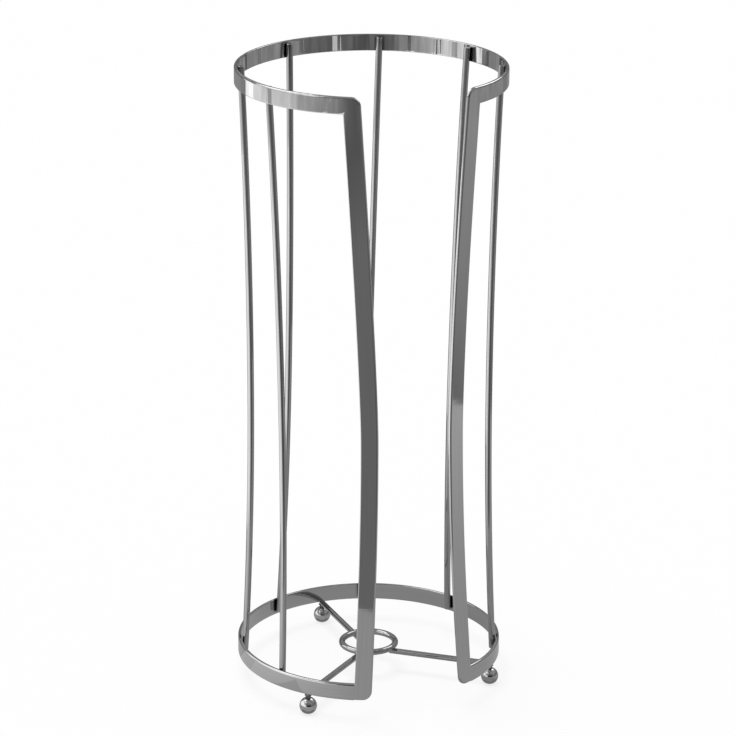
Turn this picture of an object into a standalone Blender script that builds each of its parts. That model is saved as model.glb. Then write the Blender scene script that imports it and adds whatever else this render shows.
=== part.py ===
"""Free-standing holder for spare rolls of toilet paper: an open-fronted cage with a waist.

Two flat bands lie one above the other, each open at the front. A flat upright closes each end of the
opening and is flush with both bands. Round wires stand inside the bands and bow in at the waist. Three
round spokes cross the base under a small hub ring, and each has a ball foot on a stud at its outer end.

Angles are seen from above, counted from the middle of the opening at -Y and growing towards +X.
"""
from math import acos, asin, cos, pi, radians, sin, tau

import bmesh
import bpy
from mathutils import Vector

# Cage: heights are counted from the lower edge of the lower band
BAND_RADIUS = 0.0800
CAGE_HEIGHT = 0.3670
WAIST_HEIGHT = 0.1640
WAIST_INSET = 0.0047

# Flat strip that the bands and the uprights are cut from
STRIP_THICKNESS = 0.0020
STRIP_EDGE = 0.0003
BAND_HEIGHT = 0.0102
UPRIGHT_WIDTH = 0.0104
CORNER_RADIUS = 0.0053

# Opening, from the middle of one upright to the middle of the other
OPENING_AT_TOP = 0.0739
OPENING_AT_WAIST = 0.0539
OPENING_AT_FOOT = 0.0665
FLARE_POWER_ABOVE = 1.35
FLARE_POWER_BELOW = 1.80
OPENING_TURN = radians(-2.9)

# Upright wires, each by its angles at the lower and at the upper edge of the cage
WIRE_DIAMETER = 0.0040
WIRE_FOOT_SETBACK = 0.0020
WIRE_TOP_SETBACK = 0.0014
WIRE_ANGLES = {
    "wire_front_left": (radians(-65.2), radians(-72.8)),
    "wire_side_left": (radians(-106.5), radians(-113.0)),
    "wire_rear_left": (radians(-154.7), radians(-162.3)),
    "wire_rear_right": (radians(161.3), radians(154.0)),
    "wire_side_right": (radians(116.8), radians(109.2)),
    "wire_front_right": (radians(64.5), radians(72.0)),
}

# Base: hub ring and spokes
SPOKE_DIAMETER = 0.0035
SPOKE_DROP = 0.0002
SPOKE_TAIL = 0.0028
HUB_WIRE_DIAMETER = 0.0038
HUB_RING_DIAMETER = 0.0326

# Feet, each by the angle of its spoke
FOOT_ANGLES = {
    "front_left": radians(-50.0),
    "front_right": radians(50.0),
    "rear": radians(180.0),
}
FOOT_SETBACK = 0.0003
FOOT_DROP = 0.0081
BALL_DIAMETER = 0.0106
BALL_FLAT_DEPTH = 0.0002
SOCKET_DEPTH = 0.0032
STUD_DIAMETER = 0.0032

# Running gap between pieces that touch, and overrun of a cutter
GAP = 0.0003
OVERRUN = 0.0020

# Edges that turn more than this are shaded sharp
SHARP_ANGLE = radians(35.0)

# Fineness of the curves
BAND_STEPS = 80
UPRIGHT_STEPS = 30
CORNER_STEPS = 6
WIRE_STEPS = 26
WIRE_SIDES_RESOLUTION = 3
HUB_STEPS = 36
HUB_SIDES = 12
ROD_SIDES = 16
BALL_STEPS = 24
BALL_ARC_STEPS = 14

# Heights above the floor
BALL_CENTRE = BALL_DIAMETER / 2 - BALL_FLAT_DEPTH
CAGE_FOOT = BALL_CENTRE + FOOT_DROP
CAGE_TOP = CAGE_FOOT + CAGE_HEIGHT
WAIST = CAGE_FOOT + WAIST_HEIGHT
SPOKE_AXIS = CAGE_FOOT - SPOKE_DROP
HUB_AXIS = SPOKE_AXIS + (SPOKE_DIAMETER + HUB_WIRE_DIAMETER) / 2 + GAP

# Radii from the cage's axis
BAND_INSIDE = BAND_RADIUS - STRIP_THICKNESS
STRIP_MIDDLE = BAND_RADIUS - STRIP_THICKNESS / 2
WIRE_RADIUS = BAND_INSIDE - GAP - WIRE_DIAMETER / 2
SPOKE_START = HUB_RING_DIAMETER / 2 - SPOKE_TAIL
SPOKE_END = BAND_INSIDE - GAP
FOOT_RADIUS = SPOKE_END - FOOT_SETBACK


def clear_scene():
    """Remove every object, so that the model stands alone."""
    for thing in list(bpy.data.objects):
        bpy.data.objects.remove(thing)


def chrome(name, roughness):
    """Bright plated steel."""
    material = bpy.data.materials.new(name)
    material.use_nodes = True
    shader = material.node_tree.nodes["Principled BSDF"]
    shader.inputs["Base Color"].default_value = (0.56, 0.56, 0.57, 1.0)
    shader.inputs["Metallic"].default_value = 1.0
    shader.inputs["Roughness"].default_value = roughness
    return material


def add_object(name, data, material, carrier):
    """One named piece of the stand, carried by an empty."""
    piece = bpy.data.objects.new(name, data)
    bpy.context.scene.collection.objects.link(piece)
    piece.parent = carrier
    if material:
        piece.data.materials.append(material)
    return piece


def add_empty(name, carrier=None):
    """An unseen carrier that pieces are parented to."""
    empty = bpy.data.objects.new(name, None)
    bpy.context.scene.collection.objects.link(empty)
    empty.parent = carrier
    return empty


def mesh_from(body, name):
    """Close a bmesh into a smooth-shaded mesh with its faces pointing out."""
    bmesh.ops.recalc_face_normals(body, faces=body.faces)
    mesh = bpy.data.meshes.new(name)
    body.to_mesh(mesh)
    body.free()
    mesh.shade_smooth()
    mesh.set_sharp_from_angle(angle=SHARP_ANGLE)
    return mesh


def loft(name, sections):
    """A solid skinned over closed sections, with a flat cap on the first and the last."""
    body = bmesh.new()
    loops = []
    for section in sections:
        corners = [body.verts.new(point) for point in section]
        loops.append([body.edges.new(pair) for pair in zip(corners, corners[1:] + corners[:1])])
    for lower, upper in zip(loops, loops[1:]):
        bmesh.ops.bridge_loops(body, edges=lower + upper)
    for end in (loops[0], loops[-1]):
        bmesh.ops.contextual_create(body, geom=end)
    return mesh_from(body, name)


def turned(profile, steps):
    """A solid of revolution about Z, from a closed profile in the XZ plane."""
    body = bmesh.new()
    corners = [body.verts.new((radius, 0, height)) for radius, height in profile]
    outline = corners + [corners[0]]
    edges = [body.edges.new(pair) for pair in zip(outline, outline[1:]) if not on_axis(pair)]
    bmesh.ops.spin(
        body, geom=corners + edges, axis=(0, 0, 1), cent=(0, 0, 0), angle=tau, steps=steps, use_merge=True
    )
    bmesh.ops.remove_doubles(body, verts=body.verts, dist=STRIP_EDGE / 100)
    return body


def on_axis(pair):
    """Whether an edge lies along the axis of a turned profile."""
    return all(corner.co.x == 0 for corner in pair)


def rod(name, diameter, start, end):
    """A round rod along Z between two heights."""
    body = bmesh.new()
    bmesh.ops.create_cone(
        body, cap_ends=True, segments=ROD_SIDES, radius1=diameter / 2, radius2=diameter / 2, depth=end - start
    )
    bmesh.ops.translate(body, verts=body.verts, vec=(0, 0, (start + end) / 2))
    return mesh_from(body, name)


def outward(angle):
    """Unit vector from the cage's axis at an angle."""
    return Vector((sin(angle), -cos(angle), 0))


def sideways(angle):
    """Unit vector along the cage's wall, towards growing angles."""
    return Vector((cos(angle), sin(angle), 0))


def from_waist(height):
    """0 at the waist and 1 at the cage's upper or lower edge."""
    if height > WAIST:
        return (height - WAIST) / (CAGE_TOP - WAIST)
    return (WAIST - height) / (WAIST - CAGE_FOOT)


def risen(height):
    """0 at the cage's lower edge and 1 at its upper edge."""
    return (height - CAGE_FOOT) / CAGE_HEIGHT


def waist_inset(height):
    """How far the cage's wall has bowed in at a height."""
    return WAIST_INSET * (1 - from_waist(height) ** 2)


def upright_angle(side, height):
    """Angle of the middle of an upright, with side -1 for the left one and 1 for the right one."""
    if height > WAIST:
        edge, power = OPENING_AT_TOP, FLARE_POWER_ABOVE
    else:
        edge, power = OPENING_AT_FOOT, FLARE_POWER_BELOW
    opening = OPENING_AT_WAIST + (edge - OPENING_AT_WAIST) * from_waist(height) ** power
    radius = STRIP_MIDDLE - waist_inset(height)
    return OPENING_TURN * risen(height) + side * asin(opening / 2 / radius)


def band_end_angle(side, radius, height):
    """Angle at which a band stops short of the flat edge of an upright."""
    return upright_angle(side, height) + side * asin((UPRIGHT_WIDTH / 2 + GAP) / radius)


def band_mesh(name, lower_edge):
    """An open flat band with eased edges, cut to the slope of both uprights."""
    upper_edge = lower_edge + BAND_HEIGHT
    outline = [
        (BAND_INSIDE + STRIP_EDGE, lower_edge),
        (BAND_RADIUS - STRIP_EDGE, lower_edge),
        (BAND_RADIUS, lower_edge + STRIP_EDGE),
        (BAND_RADIUS, upper_edge - STRIP_EDGE),
        (BAND_RADIUS - STRIP_EDGE, upper_edge),
        (BAND_INSIDE + STRIP_EDGE, upper_edge),
        (BAND_INSIDE, upper_edge - STRIP_EDGE),
        (BAND_INSIDE, lower_edge + STRIP_EDGE),
    ]
    sections = []
    for step in range(BAND_STEPS + 1):
        share = step / BAND_STEPS
        section = []
        for radius, height in outline:
            start = band_end_angle(1, radius, height)
            end = band_end_angle(-1, radius, height) + tau
            angle = start + (end - start) * share
            section.append(outward(angle) * radius + Vector((0, 0, height)))
        sections.append(section)
    return loft(name, sections)


def upright_stations():
    """Heights along an upright, each with its reach from the middle towards the opening."""
    corner = []
    for step in range(CORNER_STEPS + 1):
        turn = pi / 2 * step / CORNER_STEPS
        rise = CORNER_RADIUS * (1 - cos(turn))
        reach = UPRIGHT_WIDTH / 2 - CORNER_RADIUS * (1 - sin(turn))
        corner.append((rise, reach))
    straight = CAGE_HEIGHT - 2 * CORNER_RADIUS
    foot = [(CAGE_FOOT + rise, reach) for rise, reach in corner]
    middle = [
        (CAGE_FOOT + CORNER_RADIUS + straight * step / UPRIGHT_STEPS, UPRIGHT_WIDTH / 2)
        for step in range(1, UPRIGHT_STEPS)
    ]
    top = [(CAGE_TOP - rise, reach) for rise, reach in reversed(corner)]
    return foot + middle + top


def upright_mesh(name, side):
    """A flat upright with eased edges, its corners rounded on the side of the opening."""
    face = STRIP_THICKNESS / 2
    sections = []
    for height, reach in upright_stations():
        angle = upright_angle(side, height)
        middle = outward(angle) * (STRIP_MIDDLE - waist_inset(height)) + Vector((0, 0, height))
        away = sideways(angle) * side
        outline = [
            (UPRIGHT_WIDTH / 2, STRIP_EDGE - face),
            (UPRIGHT_WIDTH / 2, face - STRIP_EDGE),
            (UPRIGHT_WIDTH / 2 - STRIP_EDGE, face),
            (STRIP_EDGE - reach, face),
            (-reach, face - STRIP_EDGE),
            (-reach, STRIP_EDGE - face),
            (STRIP_EDGE - reach, -face),
            (UPRIGHT_WIDTH / 2 - STRIP_EDGE, -face),
        ]
        sections.append([middle + away * along + outward(angle) * out for along, out in outline])
    return loft(name, sections)


def wire_curve(name, foot_angle, top_angle):
    """A round wire that bows in at the waist, from one band to the other."""
    curve = bpy.data.curves.new(name, "CURVE")
    curve.dimensions = "3D"
    curve.bevel_depth = WIRE_DIAMETER / 2
    curve.bevel_resolution = WIRE_SIDES_RESOLUTION
    curve.use_fill_caps = True
    spline = curve.splines.new("POLY")
    spline.points.add(WIRE_STEPS)
    start = CAGE_FOOT + WIRE_FOOT_SETBACK
    end = CAGE_TOP - WIRE_TOP_SETBACK
    for step, point in enumerate(spline.points):
        height = start + (end - start) * step / WIRE_STEPS
        angle = foot_angle + (top_angle - foot_angle) * risen(height)
        place = outward(angle) * (WIRE_RADIUS - waist_inset(height))
        point.co = (place.x, place.y, height, 1)
    return curve


def hub_ring_mesh():
    """The ring of round wire on top of the spokes."""
    profile = []
    for step in range(HUB_SIDES):
        turn = tau * step / HUB_SIDES
        radius = HUB_RING_DIAMETER / 2 + HUB_WIRE_DIAMETER / 2 * cos(turn)
        profile.append((radius, HUB_AXIS + HUB_WIRE_DIAMETER / 2 * sin(turn)))
    return mesh_from(turned(profile, HUB_STEPS), "hub_ring")


def ball_mesh():
    """A ball about its own centre, bored for its stud and flattened where it stands."""
    radius = BALL_DIAMETER / 2
    bore = STUD_DIAMETER / 2 + GAP
    socket_floor = radius - SOCKET_DEPTH
    mouth = asin(bore / radius)
    flat = acos(-BALL_CENTRE / radius)
    profile = [(0, socket_floor), (bore, socket_floor)]
    for step in range(BALL_ARC_STEPS + 1):
        turn = mouth + (flat - mouth) * step / BALL_ARC_STEPS
        profile.append((radius * sin(turn), radius * cos(turn)))
    profile.append((0, -BALL_CENTRE))
    return mesh_from(turned(profile, BALL_STEPS), "ball")


def add_foot(place, angle, materials, carrier):
    """A spoke with the stud under its outer end and the ball on the stud, turned to their angle."""
    arm = add_empty("arm_" + place, carrier)
    arm.rotation_euler.z = angle
    lying = (pi / 2, 0, 0)

    spoke_data = rod("spoke", SPOKE_DIAMETER, SPOKE_START, SPOKE_END)
    spoke = add_object("spoke_" + place, spoke_data, materials["wire"], arm)
    spoke.location.z = SPOKE_AXIS
    spoke.rotation_euler = lying

    cutter_data = rod("cope", SPOKE_DIAMETER + 2 * GAP, SPOKE_START, SPOKE_END + OVERRUN)
    cutter = add_object("cope_" + place, cutter_data, None, arm)
    cutter.location.z = SPOKE_AXIS
    cutter.rotation_euler = lying
    cutter.hide_render = True
    cutter.display_type = "WIRE"

    stud_start = BALL_DIAMETER / 2 - SOCKET_DEPTH + GAP
    stud_data = rod("stud", STUD_DIAMETER, stud_start, SPOKE_AXIS - BALL_CENTRE)
    stud = add_object("stud_" + place, stud_data, materials["foot"], arm)
    stud.location = (0, -FOOT_RADIUS, BALL_CENTRE)
    cope = stud.modifiers.new("cope", "BOOLEAN")
    cope.object = cutter
    cope.operation = "DIFFERENCE"

    ball = add_object("ball_" + place, ball_mesh(), materials["foot"], arm)
    ball.location = (0, -FOOT_RADIUS, BALL_CENTRE)
    return [spoke, stud, ball]


def bounds(pieces):
    """Lowest and highest corner of the evaluated pieces in world space."""
    graph = bpy.context.evaluated_depsgraph_get()
    points = []
    for piece in pieces:
        shown = piece.evaluated_get(graph)
        mesh = shown.to_mesh()
        points += [shown.matrix_world @ vertex.co for vertex in mesh.vertices]
        shown.to_mesh_clear()
    low = Vector(min(point[axis] for point in points) for axis in range(3))
    high = Vector(max(point[axis] for point in points) for axis in range(3))
    return low, high


def main():
    clear_scene()
    materials = {
        "strip": chrome("strip_chrome", 0.08),
        "wire": chrome("wire_chrome", 0.10),
        "foot": chrome("foot_chrome", 0.05),
    }
    stand = add_empty("stand")
    pieces = [
        add_object("lower_band", band_mesh("lower_band", CAGE_FOOT), materials["strip"], stand),
        add_object("upper_band", band_mesh("upper_band", CAGE_TOP - BAND_HEIGHT), materials["strip"], stand),
        add_object("left_upright", upright_mesh("left_upright", -1), materials["strip"], stand),
        add_object("right_upright", upright_mesh("right_upright", 1), materials["strip"], stand),
        add_object("hub_ring", hub_ring_mesh(), materials["wire"], stand),
    ]
    for name, angles in WIRE_ANGLES.items():
        pieces.append(add_object(name, wire_curve(name, *angles), materials["wire"], stand))
    for place, angle in FOOT_ANGLES.items():
        pieces += add_foot(place, angle, materials, stand)

    # The origin is on the floor in the middle of the stand's outline, a little behind the cage's axis
    low, high = bounds(pieces)
    stand.location = (-(low.x + high.x) / 2, -(low.y + high.y) / 2, -low.z)


main()
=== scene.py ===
"""Freestanding toilet paper holder: a waisted cage of chrome-plated strip and wire on three ball feet.

The packed model gives every piece its place. This file makes the rounded, polished pieces that are seen in
its stead, their plating, and a white studio with grey and white cards for the chrome to reflect.

Angles round the cage are seen from above, counted from the middle of the opening at -Y towards +X.
"""
from math import acos, asin, atan2, cos, hypot, pi, radians, sin, tau

import bmesh
import bpy
from bpy.props import FloatProperty, IntProperty, PointerProperty
from bpy.types import Operator, Panel, PropertyGroup
from mathutils import Matrix, Vector


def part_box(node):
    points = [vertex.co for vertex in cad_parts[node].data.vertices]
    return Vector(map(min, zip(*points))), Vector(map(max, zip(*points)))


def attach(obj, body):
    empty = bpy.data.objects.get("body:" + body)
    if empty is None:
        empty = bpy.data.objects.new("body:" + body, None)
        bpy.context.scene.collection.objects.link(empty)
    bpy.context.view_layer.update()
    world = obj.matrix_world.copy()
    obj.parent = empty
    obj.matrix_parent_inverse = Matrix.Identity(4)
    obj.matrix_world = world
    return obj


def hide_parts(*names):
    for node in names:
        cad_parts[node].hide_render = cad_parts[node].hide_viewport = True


bl_info = {
    "name": "Paper Stand",
    "version": (1, 0, 0),
    "blender": (4, 5, 0),
    "location": "3D View > Sidebar > Paper Stand",
    "description": "Chrome-plated stand for spare rolls of toilet paper, in a white studio",
    "category": "Object",
}

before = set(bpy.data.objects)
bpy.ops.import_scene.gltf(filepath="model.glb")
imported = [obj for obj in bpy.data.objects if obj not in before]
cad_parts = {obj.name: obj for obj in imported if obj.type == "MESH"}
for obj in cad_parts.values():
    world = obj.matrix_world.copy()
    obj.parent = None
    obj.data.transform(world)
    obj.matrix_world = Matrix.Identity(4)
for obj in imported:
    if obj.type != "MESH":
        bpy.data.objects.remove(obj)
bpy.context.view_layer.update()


def middle(node):
    """Middle of a node's box."""
    low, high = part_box(node)
    return (low + high) / 2


AXIS = middle("hub_ring") * Vector((1, 1, 0))
CAGE_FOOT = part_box("lower_band")[0].z
CAGE_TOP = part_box("upper_band")[1].z
CAGE_HEIGHT = CAGE_TOP - CAGE_FOOT
HUB_HEIGHT = middle("hub_ring").z
SPOKE_HEIGHT = middle("spoke_rear").z
BAND_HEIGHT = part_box("upper_band")[1].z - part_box("upper_band")[0].z
UP = Vector((0, 0, 1))

# Upright wires, each by its angles at the lower and at the upper edge of the cage
WIRE_ANGLES = {
    "wire_front_left": (radians(-65.2), radians(-72.8)),
    "wire_side_left": (radians(-106.5), radians(-113.0)),
    "wire_rear_left": (radians(-154.7), radians(-162.3)),
    "wire_rear_right": (radians(161.3), radians(154.0)),
    "wire_side_right": (radians(116.8), radians(109.2)),
    "wire_front_right": (radians(64.5), radians(72.0)),
}

# Feet, each by the angle of its spoke
FOOT_ANGLES = {
    "front_left": radians(-50.0),
    "front_right": radians(50.0),
    "rear": radians(180.0),
}

# Name of the attribute that keeps a strip's place on its flat stock: along, through and across, in metres
STOCK = "stock"

# Name of the attribute that darkens the plating with painted shade, from 0 to 1: beside the wires on the
# bands' insides, and over the studs
PAINTED_SHADE = "weld"

# Name of the attribute that keeps a card's shade
SHADE = "shade"

# Points closer than this count as one
MERGE = 0.000001

# Edges of a finished piece that turn more than this are shaded sharp
SHARP_ANGLE = radians(50.0)

# Edges of an upright's blank that turn more than this are rounded
ROUNDED_ANGLE = radians(60.0)

# Soft noise stays mostly between these values
NOISE_LOW = 0.3
NOISE_HIGH = 0.7

# Shades of cards on the floor from left to right, where 1 is white
FRONT_SHADES = (
    0.25, 0.25, 0.25, 0.235, 0.22, 0.17, 0.14, 0.21, 0.20, 0.13, 0.12, 0.14, 0.22, 0.19, 0.16, 0.16, 0.16,
)
BACK_SHADES = (0.34, 0.26, 0.38, 0.30, 0.36, 0.27, 0.40, 0.33, 0.26, 0.37, 0.30, 0.38, 0.27)
RIGHT_SHADES = (0.21, 0.31, 0.36, 0.40, 0.38, 0.40, 0.36)
LEFT_TABLE_SHADES = (1.00, 1.00, 0.95, 0.80, 0.61, 0.43)
TABLE_SEAM_SHADES = (0.80, 0.80, 0.75, 0.68, 0.55, 0.40)
# Painted shade under the cage: a darker card there, from left to right
UNDER_CAGE_SHADOW_SHADES = (0.50, 0.36, 0.30)

# Shades of the table card from left to right, as shares of its grey
TABLE_SHARES = (1.00, 1.00, 0.90, 0.86, 0.98, 1.20)


def length(name, description, default):
    """A size in metres."""
    return FloatProperty(name=name, description=description, default=default, precision=5, unit="LENGTH")


def angle(name, description, default):
    """An angle, given here in degrees."""
    return FloatProperty(name=name, description=description, default=radians(default), subtype="ANGLE")


def share(name, description, default):
    """A plain number between 0 and 1."""
    return FloatProperty(name=name, description=description, default=default, min=0, max=1, subtype="FACTOR")


def number(name, description, default):
    """A plain number."""
    return FloatProperty(name=name, description=description, default=default, min=0)


def count(name, description, default):
    """A number of steps."""
    return IntProperty(name=name, description=description, default=default, min=3)


class CageSizes(PropertyGroup):
    """Shape of the cage's wall and of the strip that its bands and uprights are made of."""

    band_radius: length("Band radius", "Outer radius of both bands", 0.0800)
    strip_thickness: length("Strip thickness", "Thickness of bands and uprights", 0.0020)
    outer_edge: length("Outer edge", "Radius of the edges outside that are rubbed round the most", 0.00110)
    inner_edge: length("Inner edge", "Radius of the strip's other edges", 0.00045)
    upright_width: length("Upright width", "Width of each upright", 0.0104)
    corner_radius: length("Corner radius", "Radius of an upright's corners at the opening", 0.0053)
    waist_height: length("Waist height", "Height of the waist above the cage's lower edge", 0.1640)
    waist_inset: length("Waist inset", "How far the wall bows in at the waist", 0.0047)
    opening_at_top: length("Opening at the top", "From the middle of one upright to the other", 0.0739)
    opening_at_waist: length("Opening at the waist", "From the middle of one upright to the other", 0.0539)
    opening_at_foot: length("Opening at the foot", "From the middle of one upright to the other", 0.0665)
    flare_above: number("Flare above", "Power of the opening's growth above the waist", 1.35)
    flare_below: number("Flare below", "Power of the opening's growth below the waist", 1.80)
    opening_turn: angle("Opening turn", "Turn of the opening from the cage's foot to its top", -2.9)
    rolled_length: length("Rolled length", "Stretch over which uprights and bands blend", 0.0220)
    seat: length("Seat", "How deep welded pieces sink into each other", 0.00005)
    # Painted shade: the dark mark beside each wire on a band's inside, where wire and band meet
    joint_shade_width: length("Weld width", "Width of the dark mark that a weld leaves on a band", 0.0040)
    joint_shade_fade: length("Weld fade", "Stretch over which that mark fades out", 0.0010)
    joint_shade_reach: length("Weld reach", "How far that mark reaches past the wire's end", 0.0005)
    band_steps: count("Band steps", "Faces along a band", 360)
    band_rows: count("Band rows", "Faces up a band", 8)
    upright_steps: count("Upright steps", "Faces along an upright", 84)
    width_steps: count("Width steps", "Faces across an upright", 8)
    edge_steps: count("Edge steps", "Faces round an edge", 4)
    corner_steps: count("Corner steps", "Faces round a corner of an upright", 12)


class WireSizes(PropertyGroup):
    """Round wires that stand inside the bands."""

    diameter: length("Diameter", "Thickness of the upright wires", 0.0040)
    foot_setback: length("Foot setback", "How far a wire stops short of the cage's lower edge", 0.0020)
    top_setback: length("Top setback", "How far a wire stops short of the cage's upper edge", 0.0014)
    end_edge: length("End edge", "Radius of a wire's cut ends", 0.0005)
    sides: count("Sides", "Faces round a wire", 24)
    steps: count("Steps", "Faces along a wire", 72)


class BaseSizes(PropertyGroup):
    """Hub ring, spokes and feet."""

    ring_diameter: length("Ring diameter", "Hub ring, measured at the middle of its wire", 0.0326)
    ring_wire: length("Ring wire", "Thickness of the hub ring's wire", 0.0038)
    spoke_diameter: length("Spoke diameter", "Thickness of the spokes", 0.0035)
    spoke_tail: length("Spoke tail", "How far a spoke reaches in past the hub ring", 0.0028)
    spoke_edge: length("Spoke edge", "Radius of a spoke's cut ends", 0.0004)
    ball_diameter: length("Ball diameter", "Size of the ball feet", 0.0106)
    ball_flat: length("Ball flat", "How much of a ball is flat under it", 0.0002)
    socket_depth: length("Socket depth", "Depth of the socket in a ball", 0.0032)
    socket_edge: length("Socket edge", "Countersink at the socket's mouth", 0.0003)
    stud_diameter: length("Stud diameter", "Thickness of the studs", 0.0032)
    stud_clearance: length("Stud clearance", "Play of a stud in its socket", 0.00005)
    stud_flare: length("Stud flare", "How far the weld at a stud's top spreads out", 0.0006)
    # Painted shade: how far the whole stud's plating is darkened
    stud_painted_shade: share("Stud burn", "How far the weld has darkened a stud", 0.75)
    round_steps: count("Round steps", "Faces round a spoke, a stud or a ball", 48)
    ring_steps: count("Ring steps", "Faces along the hub ring", 120)
    arc_steps: count("Arc steps", "Faces from a ball's mouth down to its flat", 24)


class Plating(PropertyGroup):
    """How the chrome looks."""

    strip_grey: share("Strip grey", "Reflectance of the plating on the strip", 0.560)
    wire_grey: share("Wire grey", "Reflectance of the plating on the wires", 0.460)
    foot_grey: share("Foot grey", "Reflectance of the plating on studs and balls", 0.580)
    grey_spread: share("Grey spread", "How much the reflectance varies", 0.030)
    strip_haze: share("Strip haze", "Least roughness of the strip", 0.030)
    wire_haze: share("Wire haze", "Least roughness of the wires", 0.035)
    foot_haze: share("Foot haze", "Least roughness of the balls", 0.015)
    haze_spread: share("Haze spread", "How much the roughness varies", 0.035)
    streak_spread: share("Streak spread", "How much streaks vary the upper band's reflectance", 0.090)
    streak_pitch: length("Streak pitch", "Distance from streak to streak", 0.0035)
    ripple: length("Ripple", "Height of the ripples that bending left in the upper band", 0.00020)
    ripple_pitch: length("Ripple pitch", "Distance from ripple to ripple", 0.0090)
    lower_ripple: share("Lower ripple", "Ripples of the lower band, as a share of the upper one's", 1 / 8)
    upright_ripple: share("Upright ripple", "Ripples of the uprights, as a share of the upper band's", 1 / 12)
    line_depth: length("Line depth", "Depth of the polishing lines along the strip", 0.000004)
    line_pitch: length("Line pitch", "Distance from polishing line to polishing line", 0.00045)
    drawn_depth: length("Drawn depth", "Depth of the drawing lines along the wires", 0.000002)
    wave_depth: length("Wave depth", "Depth of the soft waves in the wires", 0.000016)
    peel_depth: length("Peel depth", "Depth of the orange peel on balls and studs", 0.000004)
    # Painted shade: reflectance that is left where the shade attribute is full
    painted_shade_level: share("Weld shade", "Reflectance that is left in a weld's dark mark", 0.08)


class Studio(PropertyGroup):
    """Camera, lamp, floor and the cards that the chrome reflects, placed as seen from the camera."""

    view_azimuth: angle("View azimuth", "Where the camera stands round the cage", -22.5)
    camera_distance: length("Camera distance", "From the cage's axis, level", 1.9182)
    camera_height: length("Camera height", "Above the floor", 0.8412)
    camera_heading: angle("Camera heading", "Direction that the camera faces, from above", -22.464)
    camera_dip: angle("Camera dip", "How far the camera looks down", 18.635)
    camera_roll: angle("Camera roll", "Turn of the camera about its own axis", 0.299)
    lens: number("Lens", "Focal length in millimetres on a 36 mm sensor", 165.67)
    floor_size: length("Floor size", "Side of the floor", 12.0)
    floor_grey: share("Floor grey", "Colour of the floor under the lamp", 0.800)
    floor_shade: share("Floor shade", "How much of the floor's look comes from the lamp", 0.200)
    fill_light: share("Fill light", "Level of the light from all round", 0.600)
    lamp_strength: number("Lamp strength", "Strength of the soft light from above", 2.0)
    lamp_spread: angle("Lamp spread", "Spread of that light, which softens the shadow", 35.0)
    table_grey: share("Table grey", "Card under the stand", 0.470)
    table_left: length("Table left", "Reach of the grey card to the left", 0.350)
    table_right: length("Table right", "Reach of the grey card to the right", 0.590)
    table_front: length("Table front", "Reach of the grey card to the front", 0.285)
    table_back: length("Table back", "Reach of the grey card to the back", 0.160)
    card_gap: length("Card gap", "Distance from one card to the next one over it", 0.0002)
    seam_front: length("Seam front", "Front edge of the dimmer seam in the cards at the left", -0.018)
    sector_turn: angle("Sector turn", "Turn of the white card in front at the left", -20.7)
    # Painted contact shadow: the dark card under each foot
    spot_size: length("Spot size", "Side of the dark card under each foot", 0.0115)
    room_size: length("Room size", "Side of the room of cards", 5.0)
    room_height: length("Room height", "Height of the room of cards", 2.6)
    dark_grey: share("Dark grey", "Cards in front of the stand", 0.190)
    side_grey: share("Side grey", "Lower part of the walls of the room of cards", 0.200)
    high_grey: share("High grey", "Upper part of those walls", 0.380)
    wall_step: length("Wall step", "Height at which that upper part begins", 1.10)
    ceiling_grey: share("Ceiling grey", "Card over the stand", 0.340)
    panel_top: length("Panel top", "Upper edge of the panel at the left", 0.380)


def outward(turn):
    """Unit vector from the cage's axis at an angle."""
    return Vector((sin(turn), -cos(turn), 0))


def sideways(turn):
    """Unit vector along the cage's wall, towards growing angles."""
    return Vector((cos(turn), sin(turn), 0))


def smooth_step(value):
    """0 below 0 and 1 above 1, with an even change between them."""
    value = min(max(value, 0), 1)
    return value * value * (3 - 2 * value)


def risen(height):
    """0 at the cage's lower edge and 1 at its upper edge."""
    return (height - CAGE_FOOT) / CAGE_HEIGHT


def from_waist(cage, height):
    """0 at the waist and 1 at the cage's upper or lower edge."""
    waist = CAGE_FOOT + cage.waist_height
    if height > waist:
        return (height - waist) / (CAGE_TOP - waist)
    return (waist - height) / (waist - CAGE_FOOT)


def waist_inset(cage, height):
    """How far the cage's wall has bowed in at a height."""
    return cage.waist_inset * (1 - from_waist(cage, height) ** 2)


def upright_angle(cage, side, height):
    """Angle of the middle of an upright, with side -1 for the left one and 1 for the right one."""
    if height > CAGE_FOOT + cage.waist_height:
        edge, power = cage.opening_at_top, cage.flare_above
    else:
        edge, power = cage.opening_at_foot, cage.flare_below
    away = max(from_waist(cage, height), 0)
    opening = cage.opening_at_waist + (edge - cage.opening_at_waist) * away ** power
    radius = cage.band_radius - cage.strip_thickness / 2 - waist_inset(cage, height)
    return cage.opening_turn * risen(height) + side * asin(opening / 2 / radius)


def band_end_angle(cage, side, radius, height):
    """Angle at which a band meets the flat edge of an upright."""
    reach = cage.upright_width / 2 - cage.seat
    return upright_angle(cage, side, height) + side * asin(reach / radius)


def add_node(tree, kind, values=None, **settings):
    """A shader node with its settings and the values of its inputs."""
    node = tree.nodes.new(kind)
    for key, value in settings.items():
        setattr(node, key, value)
    for key, value in (values or {}).items():
        node.inputs[key].default_value = value
    return node


def stock_place(tree):
    """Place on the strip's flat stock."""
    return add_node(tree, "ShaderNodeAttribute", attribute_name=STOCK).outputs["Vector"]


def object_place(tree):
    """Place in the stand."""
    return add_node(tree, "ShaderNodeTexCoord").outputs["Object"]


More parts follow.
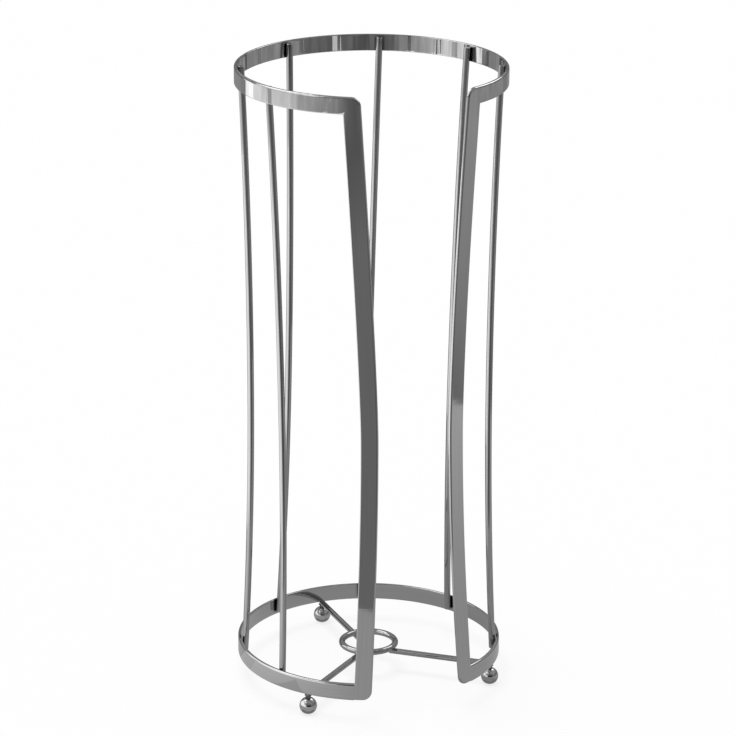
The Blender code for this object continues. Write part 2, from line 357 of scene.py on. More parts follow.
def noise(tree, place, spots, detail=2.0):
    """Soft noise with so many spots to a metre, each way, over the flat stock or over the stand."""
    mapping = add_node(tree, "ShaderNodeMapping", {"Scale": spots})
    tree.links.new(place(tree), mapping.inputs["Vector"])
    node = add_node(tree, "ShaderNodeTexNoise", {"Scale": 1.0, "Detail": detail, "Roughness": 0.55})
    tree.links.new(mapping.outputs["Vector"], node.inputs["Vector"])
    return node.outputs["Fac"]


def spread(tree, source, low, high):
    """Noise stretched between two values."""
    values = {"From Min": NOISE_LOW, "From Max": NOISE_HIGH, "To Min": low, "To Max": high}
    node = add_node(tree, "ShaderNodeMapRange", values)
    tree.links.new(source, node.inputs["Value"])
    return node.outputs["Result"]


def add_bump(tree, height, distance, before=None):
    """A bump on top of the one before."""
    node = add_node(tree, "ShaderNodeBump", {"Strength": 1.0, "Distance": distance})
    tree.links.new(height, node.inputs["Height"])
    if before:
        tree.links.new(before, node.inputs["Normal"])
    return node.outputs["Normal"]


def chrome(name, plating, greys, hazes, place, streaks, patches):
    """Chrome whose grey follows streaks and haze follows patches, darkened by painted shade where marked."""
    material = bpy.data.materials.new(name)
    material.use_nodes = True
    tree = material.node_tree
    shader = tree.nodes["Principled BSDF"]
    shader.inputs["Metallic"].default_value = 1.0
    grey = spread(tree, noise(tree, place, streaks), *greys)
    mark = add_node(tree, "ShaderNodeAttribute", attribute_name=PAINTED_SHADE)
    clean = add_node(tree, "ShaderNodeMapRange", {"To Min": 1.0, "To Max": plating.painted_shade_level})
    tree.links.new(mark.outputs["Fac"], clean.inputs["Value"])
    darkened = add_node(tree, "ShaderNodeMath", operation="MULTIPLY")
    tree.links.new(grey, darkened.inputs[0])
    tree.links.new(clean.outputs["Result"], darkened.inputs[1])
    tree.links.new(darkened.outputs[0], shader.inputs["Base Color"])
    haze = spread(tree, noise(tree, place, patches), *hazes)
    tree.links.new(haze, shader.inputs["Roughness"])
    return material, tree, shader


def strip_chrome(name, plating, ripple, streak_spread=0):
    """Plating on flat strip: polishing lines along it, and streaks and ripples of its bending across it."""
    lines = (12.0, 40.0, 1 / plating.line_pitch)
    streaks = (1 / plating.streak_pitch, 40.0, 40.0) if streak_spread else lines
    patches = (90.0, 90.0, 90.0)
    ripples = (1 / plating.ripple_pitch, 4.0, 4.0)
    grey, grey_spread = plating.strip_grey, streak_spread or plating.grey_spread
    haze, haze_spread = plating.strip_haze, plating.haze_spread
    material, tree, shader = chrome(
        name, plating, (grey - grey_spread, grey + grey_spread), (haze, haze + haze_spread),
        stock_place, streaks, patches,
    )
    lined = add_bump(tree, noise(tree, stock_place, lines), plating.line_depth)
    rippled = add_bump(tree, noise(tree, stock_place, ripples, 3.0), ripple, lined)
    tree.links.new(rippled, shader.inputs["Normal"])
    return material


def wire_chrome(name, plating):
    """Plating on drawn wire, with faint drawing lines along it."""
    lines = (2500.0, 2500.0, 25.0)
    patches = (120.0, 120.0, 60.0)
    waves = (150.0, 150.0, 70.0)
    grey, grey_spread = plating.wire_grey, plating.grey_spread
    haze, haze_spread = plating.wire_haze, plating.haze_spread
    material, tree, shader = chrome(
        name, plating, (grey - grey_spread, grey + grey_spread), (haze, haze + haze_spread),
        object_place, lines, patches,
    )
    lined = add_bump(tree, noise(tree, object_place, lines), plating.drawn_depth)
    waved = add_bump(tree, noise(tree, object_place, waves), plating.wave_depth, lined)
    tree.links.new(waved, shader.inputs["Normal"])
    return material


def foot_chrome(name, plating):
    """Mirror plating on the balls and studs, evener than on the wires, with a faint orange peel."""
    spots = (300.0, 300.0, 300.0)
    patches = (500.0, 500.0, 500.0)
    peel = (900.0, 900.0, 900.0)
    grey, grey_spread = plating.foot_grey, plating.grey_spread / 2
    haze, haze_spread = plating.foot_haze, plating.haze_spread / 2
    material, tree, shader = chrome(
        name, plating, (grey - grey_spread, grey + grey_spread), (haze, haze + haze_spread),
        object_place, spots, patches,
    )
    peeled = add_bump(tree, noise(tree, object_place, peel, 1.0), plating.peel_depth)
    tree.links.new(peeled, shader.inputs["Normal"])
    return material


def add_piece(body, name, node, material):
    """A finished piece that stands for a node of the packed model and rides on its body."""
    bmesh.ops.translate(body, vec=AXIS, verts=body.verts)
    bmesh.ops.recalc_face_normals(body, faces=body.faces)
    mesh = bpy.data.meshes.new(name)
    body.to_mesh(mesh)
    body.free()
    mesh.shade_smooth()
    mesh.set_sharp_from_angle(angle=SHARP_ANGLE)
    mesh.materials.append(material)
    piece = bpy.data.objects.new(name, mesh)
    bpy.context.scene.collection.objects.link(piece)
    weighted = piece.modifiers.new("even shading", "WEIGHTED_NORMAL")
    weighted.keep_sharp = True
    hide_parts(node)
    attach(piece, "root")
    return piece


def vertices_of(result):
    """The vertices in what a bmesh operator returned."""
    return [item for item in result["geom"] if isinstance(item, bmesh.types.BMVert)]


def faces_of(result):
    """The faces in what a bmesh operator returned."""
    return [item for item in result["geom"] if isinstance(item, bmesh.types.BMFace)]


def cut(body, place, normal):
    """Cut every face that a plane crosses."""
    everything = body.verts[:] + body.edges[:] + body.faces[:]
    bmesh.ops.bisect_plane(body, geom=everything, dist=MERGE, plane_co=place, plane_no=normal)


def bevel(body, geom, offset, segments, affect="EDGES"):
    """Round edges or corners."""
    bmesh.ops.bevel(
        body, geom=geom, offset=offset, offset_type="OFFSET", segments=segments, profile=0.5,
        affect=affect, material=-1, clamp_overlap=True,
    )


def strip_section(cage, height):
    """A band's section, X through it and Y up it, most rounded at the upper edge outside."""
    side, top = cage.strip_thickness / 2, height / 2
    body = bmesh.new()
    bmesh.ops.create_grid(body, x_segments=1, y_segments=cage.band_rows, size=1 / 2)
    bmesh.ops.scale(body, vec=(cage.strip_thickness, height, 1), verts=body.verts)
    for rubbed, radius in ((False, cage.inner_edge), (True, cage.outer_edge)):
        corners = []
        for vertex in body.verts:
            x, y = vertex.co.xy
            is_corner = abs(x) > side - MERGE and abs(y) > top - MERGE
            if is_corner and rubbed == (x > 0 and y > 0):
                corners.append(vertex)
        bevel(body, corners, radius, cage.edge_steps, "VERTICES")
    return body


def joint_shade_mark(cage, wires, away, height):
    """How dark the painted shade is on the inside of a band, from 0 to 1, so far to the side of a wire."""
    past_tip = max(CAGE_FOOT + wires.foot_setback - height, height - CAGE_TOP + wires.top_setback)
    past_mark = max(away - cage.joint_shade_width / 2, past_tip + cage.joint_shade_fade - cage.joint_shade_reach)
    return 1 - smooth_step(past_mark / cage.joint_shade_fade)


def band_body(cage, wires, lower_edge):
    """An open band: its section spun round the cage and drawn to the slope and the bow of both uprights."""
    body = strip_section(cage, BAND_HEIGHT)
    start = band_end_angle(cage, 1, cage.band_radius, lower_edge)
    end = band_end_angle(cage, -1, cage.band_radius, lower_edge) + tau
    strip_radius = cage.band_radius - cage.strip_thickness / 2
    band_middle = lower_edge + BAND_HEIGHT / 2
    lift = Matrix.Translation((strip_radius, 0, band_middle))
    stand_up = Matrix.Rotation(start - pi / 2, 4, "Z") @ lift @ Matrix.Rotation(pi / 2, 4, "X")
    bmesh.ops.transform(body, matrix=stand_up, verts=body.verts)
    bmesh.ops.spin(
        body, geom=body.verts[:] + body.edges[:] + body.faces[:], cent=(0, 0, 0), axis=(0, 0, 1),
        angle=end - start, steps=cage.band_steps,
    )
    stock = body.verts.layers.float_vector.new(STOCK)
    # This layer carries painted shade for the joints with the wires
    weld = body.verts.layers.float.new(PAINTED_SHADE)
    slack = radians(1.0)
    wire_angles = [foot + (top - foot) * risen(band_middle) for foot, top in WIRE_ANGLES.values()]
    for vertex in body.verts:
        x, y, height = vertex.co
        radius = hypot(x, y)
        past_start = (atan2(x, -y) - start + slack) % tau - slack
        first = band_end_angle(cage, 1, radius, height)
        last = band_end_angle(cage, -1, radius, height) + tau
        turn = first + (last - first) * past_start / (end - start)
        past_end = min(turn - first, last - turn) * radius
        drawn_in = waist_inset(cage, height) * (1 - smooth_step(past_end / cage.rolled_length))
        vertex.co = outward(turn) * (radius - drawn_in) + UP * height
        vertex[stock] = (turn * cage.band_radius, radius - cage.band_radius, height - lower_edge)
        # Painted shade on the band's inside beside each wire, for the dark joint where wire and band meet
        if radius < strip_radius:
            away = min(abs((turn - wire_angle + pi) % tau - pi) for wire_angle in wire_angles) * radius
            vertex[weld] = joint_shade_mark(cage, wires, away, height)
    return body


def upright_blank(cage):
    """The flat bar before it is formed: X across it with the opening at -X, Y through it and Z up."""
    body = bmesh.new()
    bmesh.ops.create_grid(body, x_segments=1, y_segments=1, size=1 / 2)
    size = Matrix.Diagonal((cage.upright_width, CAGE_HEIGHT, 1, 1))
    lift = Matrix.Translation((0, -cage.strip_thickness / 2, (CAGE_FOOT + CAGE_TOP) / 2))
    bmesh.ops.transform(body, matrix=lift @ Matrix.Rotation(pi / 2, 4, "X") @ size, verts=body.verts)
    bevel(body, [v for v in body.verts if v.co.x < 0], cage.corner_radius, cage.corner_steps, "VERTICES")
    front = bmesh.ops.extrude_face_region(body, geom=body.faces[:])
    bmesh.ops.translate(body, vec=(0, cage.strip_thickness, 0), verts=vertices_of(front))
    bmesh.ops.recalc_face_normals(body, faces=body.faces)
    return body


def edge_radius(cage, edge):
    """How far an edge of the blank is rounded: most outside at the opening, and not where a band joins on."""
    first, second = (vertex.co for vertex in edge.verts)
    outside = min(first.y, second.y) > cage.strip_thickness / 2 - MERGE
    inside = max(first.y, second.y) < MERGE - cage.strip_thickness / 2
    if not (outside or inside) or edge.calc_face_angle(0) < ROUNDED_ANGLE:
        return 0
    if min(first.x, second.x) < cage.upright_width / 2 - MERGE:
        return cage.outer_edge if outside else cage.inner_edge
    height = (first.z + second.z) / 2
    between_bands = CAGE_FOOT + BAND_HEIGHT < height < CAGE_TOP - BAND_HEIGHT
    return cage.inner_edge if between_bands else 0


def upright_body(cage, side):
    """A flat upright, formed from its blank to the flared opening and the waisted wall."""
    body = upright_blank(cage)
    for height in (CAGE_FOOT + BAND_HEIGHT, CAGE_TOP - BAND_HEIGHT):
        cut(body, (0, 0, height), UP)
    for radius in (cage.outer_edge, cage.inner_edge):
        edges = [edge for edge in body.edges if edge_radius(cage, edge) == radius]
        bevel(body, edges, radius, cage.edge_steps)
    for step in range(1, cage.upright_steps):
        cut(body, (0, 0, CAGE_FOOT + CAGE_HEIGHT * step / cage.upright_steps), UP)
    for step in range(1, cage.width_steps):
        cut(body, (cage.upright_width * (step / cage.width_steps - 1 / 2), 0, 0), (1, 0, 0))
    stock = body.verts.layers.float_vector.new(STOCK)
    for vertex in body.verts:
        across, through, height = vertex.co
        vertex[stock] = (height, through, across)
        turn = upright_angle(cage, side, height)
        radius = cage.band_radius - cage.strip_thickness / 2 - waist_inset(cage, height)
        past_band = min(height - CAGE_FOOT, CAGE_TOP - height) - BAND_HEIGHT
        rolled = 1 - smooth_step(past_band / cage.rolled_length)
        hollow = rolled * across ** 2 / 2 / radius
        vertex.co = outward(turn) * (radius + through - hollow) + sideways(turn) * side * across + UP * height
    return body


def swept(body, stations):
    """Draw a section along stations, each a matrix that carries the section to its place."""
    bmesh.ops.transform(body, matrix=stations[0], verts=body.verts)
    tip = body.faces[:]
    for before, after in zip(stations, stations[1:]):
        moved = bmesh.ops.extrude_face_region(body, geom=tip)
        tip = faces_of(moved)
        bmesh.ops.transform(body, matrix=after @ before.inverted(), verts=vertices_of(moved))
    return body


def wire_body(cage, wires, foot_angle, top_angle):
    """A round wire that bows in at the waist and leans round the cage, with eased ends."""
    def place(height):
        turn = foot_angle + (top_angle - foot_angle) * risen(height)
        radius = cage.band_radius - cage.strip_thickness + cage.seat - wires.diameter / 2
        return outward(turn) * (radius - waist_inset(cage, height)) + UP * height

    start, end = CAGE_FOOT + wires.foot_setback, CAGE_TOP - wires.top_setback
    stride = (end - start) / wires.steps
    stations = []
    for step in range(wires.steps + 1):
        height = start + stride * step
        along = place(height + stride / 2) - place(height - stride / 2)
        lean = UP.rotation_difference(along)
        stations.append(Matrix.Translation(place(height)) @ lean.to_matrix().to_4x4())
    body = bmesh.new()
    bmesh.ops.create_circle(body, cap_ends=True, segments=wires.sides, radius=wires.diameter / 2)
    swept(body, stations)
    ease_ends(body, wires.end_edge, cage.edge_steps)
    return body


def ease_ends(body, radius, steps):
    """Round the rims of the two end caps, which are the faces with the most corners."""
    most = max(len(face.verts) for face in body.faces)
    rims = [edge for edge in body.edges if any(len(face.verts) == most for face in edge.link_faces)]
    bevel(body, rims, radius, steps)


def ring_body(base):
    """The hub ring."""
    body = bmesh.new()
    bmesh.ops.create_circle(body, cap_ends=False, segments=base.round_steps // 2, radius=base.ring_wire / 2)
    stand_up = Matrix.Translation((base.ring_diameter / 2, 0, HUB_HEIGHT)) @ Matrix.Rotation(pi / 2, 4, "X")
    bmesh.ops.transform(body, matrix=stand_up, verts=body.verts)
    bmesh.ops.spin(
        body, geom=body.verts[:] + body.edges[:], cent=(0, 0, 0), axis=(0, 0, 1), angle=tau,
        steps=base.ring_steps, use_merge=True,
    )
    return body


def spoke_body(cage, base, turn):
    """A spoke from inside the hub ring to the lower band, with eased ends."""
    start = base.ring_diameter / 2 - base.spoke_tail
    end = cage.band_radius - cage.strip_thickness + cage.seat
    body = bmesh.new()
    bmesh.ops.create_cone(
        body, cap_ends=True, segments=base.round_steps, radius1=base.spoke_diameter / 2,
        radius2=base.spoke_diameter / 2, depth=end - start,
    )
    ease_ends(body, base.spoke_edge, cage.edge_steps)
    laid = Matrix.Rotation(turn, 4, "Z") @ Matrix.Translation((0, -(start + end) / 2, SPOKE_HEIGHT))
    bmesh.ops.transform(body, matrix=laid @ Matrix.Rotation(pi / 2, 4, "X"), verts=body.verts)
    return body


def turned(base, profile):
    """A solid of revolution about Z, from an open outline that begins and ends on the axis."""
    body = bmesh.new()
    corners = [body.verts.new((radius, 0, height)) for radius, height in profile]
    edges = [body.edges.new(pair) for pair in zip(corners, corners[1:])]
    bmesh.ops.spin(
        body, geom=corners + edges, cent=(0, 0, 0), axis=(0, 0, 1), angle=tau,
        steps=base.round_steps, use_merge=True,
    )
    bmesh.ops.remove_doubles(body, verts=body.verts, dist=MERGE)
    return body


def ball_body(base):
    """A ball about its own centre, bored for its stud and flattened where it stands."""
    radius = base.ball_diameter / 2
    bore = base.stud_diameter / 2 + base.stud_clearance
    mouth = asin((bore + base.socket_edge) / radius)
    flat = acos((base.ball_flat - radius) / radius)
    profile = [(0, radius - base.socket_depth), (bore, radius - base.socket_depth)]
    profile.append((bore, radius * cos(mouth) - base.socket_edge))
    for step in range(base.arc_steps + 1):
        turn = mouth + (flat - mouth) * step / base.arc_steps
        profile.append((radius * sin(turn), radius * cos(turn)))
    profile.append((0, base.ball_flat - radius))
    return turned(base, profile)


def stud_body(base):
    """A stud about its ball's centre, flared by the weld where it meets the spoke."""
    radius = base.stud_diameter / 2
    ball_centre = base.ball_diameter / 2 - base.ball_flat
    foot = base.ball_diameter / 2 - base.socket_depth + base.stud_clearance
    spoke_foot = SPOKE_HEIGHT - ball_centre - base.spoke_diameter / 2
    profile = [(0, foot), (radius - base.socket_edge, foot), (radius, foot + base.socket_edge)]
    flare, steps = base.stud_flare, base.arc_steps // 4
    for step in range(steps + 1):
        turn = pi / 2 * step / steps
        profile.append((radius + flare * (1 - cos(turn)), spoke_foot + flare * sin(turn)))
    profile.append((0, spoke_foot + flare))
    body = turned(base, profile)
    # Painted shade over the whole stud
    weld = body.verts.layers.float.new(PAINTED_SHADE)
    for vertex in body.verts:
        vertex[weld] = base.stud_painted_shade
    return body


class STAND_OT_bands(Operator):
    """Make the upper and the lower band"""

    bl_idname = "stand.bands"
    bl_label = "Bands"

    def execute(self, context):
        scene = context.scene
        cage, wires, plating = scene.stand_cage, scene.stand_wires, scene.stand_plating
        streaked = strip_chrome("rippled_strip_chrome", plating, plating.ripple, plating.streak_spread)
        upper = band_body(cage, wires, CAGE_TOP - BAND_HEIGHT)
        add_piece(upper, "polished_upper_band", "upper_band", streaked)
        plain = strip_chrome("band_strip_chrome", plating, plating.ripple * plating.lower_ripple)
        lower = band_body(cage, wires, CAGE_FOOT)
        add_piece(lower, "polished_lower_band", "lower_band", plain)
        return {"FINISHED"}


class STAND_OT_uprights(Operator):
    """Make the two flat uprights beside the opening"""

    bl_idname = "stand.uprights"
    bl_label = "Uprights"

    def execute(self, context):
        cage, plating = context.scene.stand_cage, context.scene.stand_plating
        material = strip_chrome("upright_strip_chrome", plating, plating.ripple * plating.upright_ripple)
        for name, side in (("left_upright", -1), ("right_upright", 1)):
            add_piece(upright_body(cage, side), "polished_" + name, name, material)
        return {"FINISHED"}


class STAND_OT_wires(Operator):
    """Make the six round wires inside the bands"""

    bl_idname = "stand.wires"
    bl_label = "Wires"

    def execute(self, context):
        scene = context.scene
        material = wire_chrome("drawn_wire_chrome", scene.stand_plating)
        for name, angles in WIRE_ANGLES.items():
            body = wire_body(scene.stand_cage, scene.stand_wires, *angles)
            add_piece(body, "polished_" + name, name, material)
        return {"FINISHED"}


class STAND_OT_base(Operator):
    """Make the hub ring and its three spokes"""

    bl_idname = "stand.base"
    bl_label = "Hub ring and spokes"

    def execute(self, context):
        scene = context.scene
        material = wire_chrome("base_wire_chrome", scene.stand_plating)
        add_piece(ring_body(scene.stand_base), "polished_hub_ring", "hub_ring", material)
        for place, turn in FOOT_ANGLES.items():
            body = spoke_body(scene.stand_cage, scene.stand_base, turn)
            add_piece(body, "polished_spoke_" + place, "spoke_" + place, material)
        return {"FINISHED"}


class STAND_OT_feet(Operator):
    """Make the three ball feet and their studs"""

    bl_idname = "stand.feet"
    bl_label = "Feet"

    def execute(self, context):
        base, plating = context.scene.stand_base, context.scene.stand_plating
        material = foot_chrome("mirror_foot_chrome", plating)
        for place in FOOT_ANGLES:
            centre = middle("ball_" + place) - AXIS
            centre.z = base.ball_diameter / 2 - base.ball_flat
            for kind, body in (("ball_", ball_body(base)), ("stud_", stud_body(base))):
                bmesh.ops.translate(body, vec=centre, verts=body.verts)
                add_piece(body, "polished_" + kind + place, kind + place, material)
        return {"FINISHED"}


def add_camera(studio):
    """The camera, at the photograph's viewing angle."""
    data = bpy.data.cameras.new("camera")
    data.lens = studio.lens
    camera = bpy.data.objects.new("camera", data)
    bpy.context.scene.collection.objects.link(camera)
    place = AXIS + outward(studio.view_azimuth) * studio.camera_distance + UP * studio.camera_height
    camera.matrix_world = (
        Matrix.Translation(place)
        @ Matrix.Rotation(studio.camera_heading, 4, "Z")
        @ Matrix.Rotation(pi / 2 - studio.camera_dip, 4, "X")
        @ Matrix.Rotation(studio.camera_roll, 4, "Z")
    )
    bpy.context.scene.camera = camera


def seen_background(tree):
    """1 for the camera and for what metal or glass shows, 0 for the light that falls on things."""
    path = add_node(tree, "ShaderNodeLightPath")
    total = path.outputs["Is Camera Ray"]
    for name in ("Is Glossy Ray", "Is Transmission Ray"):
        both = add_node(tree, "ShaderNodeMath", operation="MAXIMUM")
        tree.links.new(total, both.inputs[0])
        tree.links.new(path.outputs[name], both.inputs[1])
        total = both.outputs[0]
    return total


def add_floor(studio):
    """A white floor that keeps a soft shadow of the stand."""
    body = bmesh.new()
    bmesh.ops.create_grid(body, x_segments=1, y_segments=1, size=studio.floor_size / 2)
    mesh = bpy.data.meshes.new("floor")
    body.to_mesh(mesh)
    body.free()
    material = bpy.data.materials.new("white_floor")
    material.use_nodes = True
    tree = material.node_tree
    tree.nodes.clear()
    grey = studio.floor_grey
    matt = add_node(tree, "ShaderNodeBsdfDiffuse", {"Color": (grey, grey, grey, 1.0)})
    glow = add_node(tree, "ShaderNodeEmission", {"Strength": 1.0})
    lift = add_node(tree, "ShaderNodeMath", {1: 1 - studio.floor_shade}, operation="MULTIPLY")
    mix = add_node(tree, "ShaderNodeMixShader")
    output = add_node(tree, "ShaderNodeOutputMaterial")
    tree.links.new(seen_background(tree), lift.inputs[0])
    tree.links.new(lift.outputs[0], mix.inputs[0])
    tree.links.new(matt.outputs[0], mix.inputs[1])
    tree.links.new(glow.outputs[0], mix.inputs[2])
    tree.links.new(mix.outputs[0], output.inputs["Surface"])
    mesh.materials.append(material)
    floor = bpy.data.objects.new("floor", mesh)
    bpy.context.scene.collection.objects.link(floor)


def add_world(studio):
    """White behind the stand, with an even fill light."""
    world = bpy.data.worlds.new("white_studio")
    world.use_nodes = True
    bpy.context.scene.world = world
    tree = world.node_tree
    background = tree.nodes["Background"]
    background.inputs["Color"].default_value = (1.0, 1.0, 1.0, 1.0)
    level = add_node(tree, "ShaderNodeMapRange", {"To Min": studio.fill_light, "To Max": 1.0})
    tree.links.new(seen_background(tree), level.inputs["Value"])
    tree.links.new(level.outputs["Result"], background.inputs["Strength"])


def card_material():
    """Glow at a card's own shade."""
    material = bpy.data.materials.new("card")
    material.use_nodes = True
    tree = material.node_tree
    tree.nodes.clear()
    shade = add_node(tree, "ShaderNodeAttribute", attribute_name=SHADE)
    glow = add_node(tree, "ShaderNodeEmission")
    output = add_node(tree, "ShaderNodeOutputMaterial")
    tree.links.new(shade.outputs["Fac"], glow.inputs["Strength"])
    tree.links.new(glow.outputs[0], output.inputs["Surface"])
    return material


def add_card(studio, name, shades, matrix):
    """A card that shows only in the chrome: one by one metre before its matrix, shaded from -X to +X."""
    body = bmesh.new()
    bmesh.ops.create_grid(body, x_segments=len(shades) - 1, y_segments=1, size=1 / 2)
    layer = body.verts.layers.float.new(SHADE)
    for vertex in body.verts:
        vertex[layer] = shades[round((vertex.co.x + 1 / 2) * (len(shades) - 1))]
    turn = Matrix.Translation(AXIS) @ Matrix.Rotation(studio.view_azimuth, 4, "Z")
    bmesh.ops.transform(body, matrix=turn @ matrix, verts=body.verts)
    mesh = bpy.data.meshes.new(name)
    body.to_mesh(mesh)
    body.free()
    mesh.materials.append(bpy.data.materials.get("card") or card_material())
    card = bpy.data.objects.new(name, mesh)
    bpy.context.scene.collection.objects.link(card)
    card.visible_camera = False
    card.visible_diffuse = False
    card.visible_transmission = False
    card.visible_volume_scatter = False
    card.visible_shadow = False


def lying(left, right, front, back, height):
    """Matrix of a level card with these edges, counted from the cage's axis, shaded from left to right."""
    place = Matrix.Translation(((left + right) / 2, (front + back) / 2, height))
    return place @ Matrix.Diagonal((right - left, back - front, 1, 1))


def facing_side(x, front, back, foot, top):
    """Matrix of a card that stands at the left or the right, shaded from front to back."""
    place = Matrix.Translation((x, (front + back) / 2, (foot + top) / 2))
    turn = Matrix.Rotation(pi / 2, 4, "Z") @ Matrix.Rotation(pi / 2, 4, "X")
    return place @ turn @ Matrix.Diagonal((back - front, top - foot, 1, 1))


def facing_front(y, left, right, foot, top):
    """Matrix of a card that stands in front or behind, shaded from left to right."""
    place = Matrix.Translation(((left + right) / 2, y, (foot + top) / 2))
    return place @ Matrix.Rotation(pi / 2, 4, "X") @ Matrix.Diagonal((right - left, top - foot, 1, 1))


def aimed(place, target=(0, 0, 0)):
    """Matrix of a lamp or a card that shines from a place at a target, by default the foot of the axis."""
    aim = (Vector(target) - Vector(place)).to_track_quat("-Z", "Y")
    return Matrix.Translation(place) @ aim.to_matrix().to_4x4()


def add_floor_cards(studio):
    """Level cards that the chrome shows in place of the floor, each in a layer of its own."""
    reach, gap = studio.room_size / 2, studio.card_gap
    dark, table = studio.dark_grey, studio.table_grey
    left, right = -studio.table_left, studio.table_right
    front, back = -studio.table_front, studio.table_back
    seam = studio.seam_front
    under = 0.085
    add_card(studio, "far_floor_card", (dark, dark), lying(-reach, reach, -reach, 0, gap))
    add_card(studio, "front_floor_card", FRONT_SHADES, lying(-1.0, 1.0, -reach, 0, 2 * gap))
    sector = Matrix.Rotation(studio.sector_turn, 4, "Z") @ lying(-0.6, 0, -0.82, front, 3 * gap)
    add_card(studio, "front_left_floor_card", (1.3, 1.3), sector)
    add_card(studio, "back_floor_card", BACK_SHADES, lying(-reach, reach, 0, reach, gap))
    add_card(studio, "right_floor_card", RIGHT_SHADES, lying(right, right + 1.2, front * 2, back, 3 * gap))
    table_shades = [table * part for part in TABLE_SHARES]
    add_card(studio, "table_card", table_shades, lying(left, right, front, back, 4 * gap))
    add_card(studio, "behind_table_card", (0.25, 0.25), lying(left, right, back, 0.8, 3 * gap))
    add_card(studio, "left_table_card", LEFT_TABLE_SHADES, lying(left, seam, front, seam, 5 * gap))
    add_card(studio, "left_table_seam", TABLE_SEAM_SHADES, lying(left, seam, seam, 0.01, 5 * gap))
    # Painted shade: the darker card under the cage
    add_card(studio, "under_cage_shadow_card", UNDER_CAGE_SHADOW_SHADES, lying(-under, under, -under, under, 6 * gap))
    # Painted contact shadow: a dark card under each foot, which the balls show near their lower rims
    for place in FOOT_ANGLES:
        centre = Matrix.Rotation(-studio.view_azimuth, 4, "Z") @ (middle("ball_" + place) - AXIS)
        foot_shadow = Matrix.Translation((centre.x, centre.y, 7 * gap)) @ Matrix.Scale(studio.spot_size, 4)
        add_card(studio, "contact_shadow_card_" + place, (0.24, 0.24), foot_shadow)


def add_panel_cards(studio):
    """A panel at the left in strips from front to back, with brighter cards before its foot."""
    left = -studio.table_left
    for name, front, back, shades in (
        ("left_panel_dim", -1.10, -0.25, (0.15, 0.22, 0.36, 0.40, 0.55)),
        ("left_panel_front", -0.25, -0.15, (0.55, 0.92)),
        ("left_panel_middle", -0.15, -0.05, (0.92, 1.00)),
        ("left_panel_seam", -0.05, -0.02, (0.62, 0.46)),
        ("left_panel_rear", -0.02, 0.10, (1.00, 1.10)),
        ("left_panel_lamp", 0.10, 0.196, (1.85, 1.25)),
    ):
        add_card(studio, name, shades, facing_side(left, front, back, 0, studio.panel_top))
    for name, front, back, top, layer, shade in (
        ("left_panel_foot", -0.55, -0.02, 0.19, 1, 1.3),
        ("left_panel_rear_foot", -0.20, 0.05, 0.25, 2, 1.5),
        ("left_panel_low_foot", -0.92, -0.55, 0.05, 1, 1.3),
    ):
        place = facing_side(left + layer * studio.card_gap, front, back, 0, top)
        add_card(studio, name, (shade, shade), place)


def add_softboxes(studio):
    """Bright cards up in the room, aimed at the stand."""
    for name, place, target, width, height, shade in (
        ("left_softbox", (-1.06, -0.24, 0.95), (0, 0, 0.30), 1.50, 1.00, 1.3),
        ("top_softbox", (-0.68, 0.38, 1.30), (0, 0, 0), 0.64, 0.64, 2.4),
        ("right_softbox", (0.50, 0.45, 0.80), (0, 0, 0), 0.40, 0.40, 2.2),
    ):
        matrix = aimed(place, target) @ Matrix.Diagonal((width, height, 1, 1))
        add_card(studio, name, (shade, shade), matrix)


def add_room_cards(studio):
    """Walls and ceiling, the walls lighter above their step, and a black card on the front wall."""
    reach, top = studio.room_size / 2, studio.room_height
    dark, ceiling = studio.dark_grey, studio.ceiling_grey
    add_card(studio, "black_card", (0.02, 0.02), facing_front(studio.card_gap - reach, -1.0, 1.9, 0, 0.9))
    add_card(studio, "front_wall_card", (dark, dark), facing_front(-reach, -reach, reach, 0, top))
    for name, shade, foot, head in (
        ("low_", studio.side_grey, 0, studio.wall_step),
        ("high_", studio.high_grey, studio.wall_step, top),
    ):
        shades = (shade, shade)
        add_card(studio, name + "back_wall_card", shades, facing_front(reach, -reach, reach, foot, head))
        add_card(studio, name + "left_wall_card", shades, facing_side(-reach, -reach, reach, foot, head))
        add_card(studio, name + "right_wall_card", shades, facing_side(reach, -reach, reach, foot, head))
    add_card(studio, "ceiling_card", (ceiling, ceiling), lying(-reach, reach, -reach, reach, top))


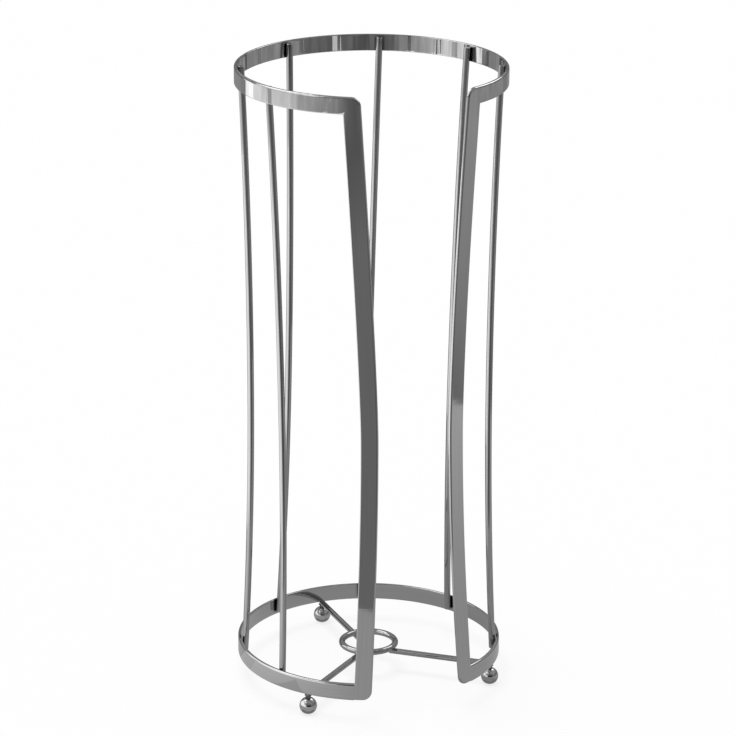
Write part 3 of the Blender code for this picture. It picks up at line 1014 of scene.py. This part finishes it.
def add_lamp(studio):
    """Soft light from above for the floor, which the chrome doesn't show."""
    data = bpy.data.lights.new("top_light", "SUN")
    data.energy = studio.lamp_strength
    data.angle = studio.lamp_spread
    lamp = bpy.data.objects.new("top_light", data)
    bpy.context.scene.collection.objects.link(lamp)
    turn = Matrix.Translation(AXIS) @ Matrix.Rotation(studio.view_azimuth, 4, "Z")
    lamp.matrix_world = turn @ aimed((-0.3, 0.1, 2.0))
    lamp.visible_glossy = False


class STAND_OT_stage(Operator):
    """Make the camera, the white floor, the cards and the lamp"""

    bl_idname = "stand.stage"
    bl_label = "Studio"

    def execute(self, context):
        studio = context.scene.stand_studio
        add_camera(studio)
        add_floor(studio)
        add_world(studio)
        add_floor_cards(studio)
        add_panel_cards(studio)
        add_softboxes(studio)
        add_room_cards(studio)
        add_lamp(studio)
        context.scene.view_settings.view_transform = "Standard"
        return {"FINISHED"}


MAKERS = (STAND_OT_bands, STAND_OT_uprights, STAND_OT_wires, STAND_OT_base, STAND_OT_feet, STAND_OT_stage)


class STAND_PT_sidebar(Panel):
    """A button for each group of pieces and for the studio, and every size below them"""

    bl_idname = "STAND_PT_sidebar"
    bl_label = "Paper Stand"
    bl_space_type = "VIEW_3D"
    bl_region_type = "UI"
    bl_category = "Paper Stand"

    def draw(self, context):
        for maker in MAKERS:
            self.layout.operator(maker.bl_idname)
        for name, group in GROUPS.items():
            self.layout.label(text=group.__doc__)
            for size in group.__annotations__:
                self.layout.prop(getattr(context.scene, name), size)


GROUPS = {
    "stand_cage": CageSizes,
    "stand_wires": WireSizes,
    "stand_base": BaseSizes,
    "stand_plating": Plating,
    "stand_studio": Studio,
}


def register():
    """Register the classes and hang the settings on the scene."""
    for item in (*GROUPS.values(), *MAKERS, STAND_PT_sidebar):
        bpy.utils.register_class(item)
    for name, group in GROUPS.items():
        setattr(bpy.types.Scene, name, PointerProperty(type=group))


def unregister():
    """Take the settings and the classes away again."""
    for name in GROUPS:
        delattr(bpy.types.Scene, name)
    for item in (STAND_PT_sidebar, *MAKERS, *GROUPS.values()):
        bpy.utils.unregister_class(item)


def main():
    """Make the whole stand and its studio."""
    register()
    bpy.ops.stand.bands()
    bpy.ops.stand.uprights()
    bpy.ops.stand.wires()
    bpy.ops.stand.base()
    bpy.ops.stand.feet()
    bpy.ops.stand.stage()


if __name__ == "__main__":
    main()
